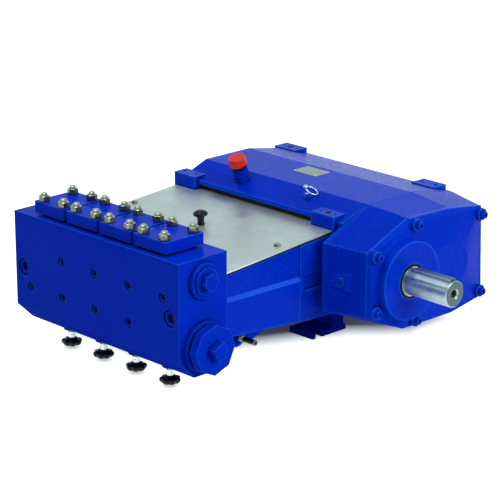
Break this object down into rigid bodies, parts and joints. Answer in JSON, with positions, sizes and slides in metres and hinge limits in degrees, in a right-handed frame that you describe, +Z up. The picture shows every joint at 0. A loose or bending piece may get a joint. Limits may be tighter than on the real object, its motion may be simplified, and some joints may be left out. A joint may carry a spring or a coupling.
{
  "type": "quadruplex plunger pump",
  "caption": "High-pressure plunger pump with a valve block, lantern, crankcase with gear drive, keyed drive shaft, feet and star grips.",
  "frame": {"origin": "on the floor below the middle of the outline", "axes": "+X along the drive shaft towards its free end, +Y from the valve block to the crankcase, +Z up"},
  "size_m": [0.91, 0.922, 0.4177],
  "materials": {
    "blue_paint": "gloss",
    "black_rubber": "matte",
    "stainless": "satin",
    "black_plastic": "gloss",
    "shaft_steel": "machined",
    "bright_steel": "zinc plated",
    "red_plastic": "gloss"
  },
  "bodies": {
    "pump": {"valve_block": "blue_paint", "suction_plug": "blue_paint", "delivery_plug": "blue_paint", "screw_bushings": "blue_paint", "lantern": "blue_paint", "plate_gasket": "black_rubber", "splash_plate": "stainless", "plate_knob": "black_plastic", "strip_seal": "black_rubber", "crankcase": "blue_paint", "left_bearing_cover": "blue_paint", "gear_housing": "blue_paint", "end_cover": "blue_paint", "shaft_seal": "black_rubber", "foot_front_right": "blue_paint", "foot_front_left": "blue_paint", "foot_back_right": "blue_paint", "foot_back_left": "blue_paint", "filler_neck": "blue_paint", "drain_valve": "bright_steel", "valve_cover_1": "blue_paint", "valve_cover_2": "blue_paint", "valve_cover_3": "blue_paint", "valve_cover_4": "blue_paint"},
    "lifting_screw_1": {"lifting_screw_1": "bright_steel", "star_grip_1": "black_plastic"},
    "lifting_screw_2": {"lifting_screw_2": "bright_steel", "star_grip_2": "black_plastic"},
    "lifting_screw_3": {"lifting_screw_3": "bright_steel", "star_grip_3": "black_plastic"},
    "lifting_screw_4": {"lifting_screw_4": "bright_steel", "star_grip_4": "black_plastic"},
    "shaft": {"drive_shaft": "shaft_steel", "shaft_key": "shaft_steel"},
    "filler_cap": {"filler_cap": "red_plastic", "filler_seal": "black_rubber"},
    "dipstick": {"dipstick": "bright_steel"}
  },
  "joints": [
    {"name": "shaft_spin", "type": "hinge", "parent": "pump", "child": "shaft", "pos_m": [0.39, 0.117, 0.213], "axis": [1, 0, 0], "continuous": true},
    {"name": "lifting_screw_turn_1", "type": "hinge", "parent": "pump", "child": "lifting_screw_1", "pos_m": [-0.34, -0.386, 0.04], "axis": [0, 0, 1], "range_deg": [0, 720]},
    {"name": "lifting_screw_turn_2", "type": "hinge", "parent": "pump", "child": "lifting_screw_2", "pos_m": [-0.22, -0.386, 0.04], "axis": [0, 0, 1], "range_deg": [0, 720]},
    {"name": "lifting_screw_turn_3", "type": "hinge", "parent": "pump", "child": "lifting_screw_3", "pos_m": [-0.1, -0.386, 0.04], "axis": [0, 0, 1], "range_deg": [0, 720]},
    {"name": "lifting_screw_turn_4", "type": "hinge", "parent": "pump", "child": "lifting_screw_4", "pos_m": [0.02, -0.386, 0.04], "axis": [0, 0, 1], "range_deg": [0, 720]},
    {"name": "filler_cap_turn", "type": "hinge", "parent": "pump", "child": "filler_cap", "pos_m": [-0.251, 0.09462, 0.39142], "axis": [0, -0.356, 0.9345], "range_deg": [0, 360]},
    {"name": "dipstick_pull", "type": "slide", "parent": "pump", "child": "dipstick", "axis": [0, -0.356, 0.9345], "range_m": [0, 0.12]}
  ]
}
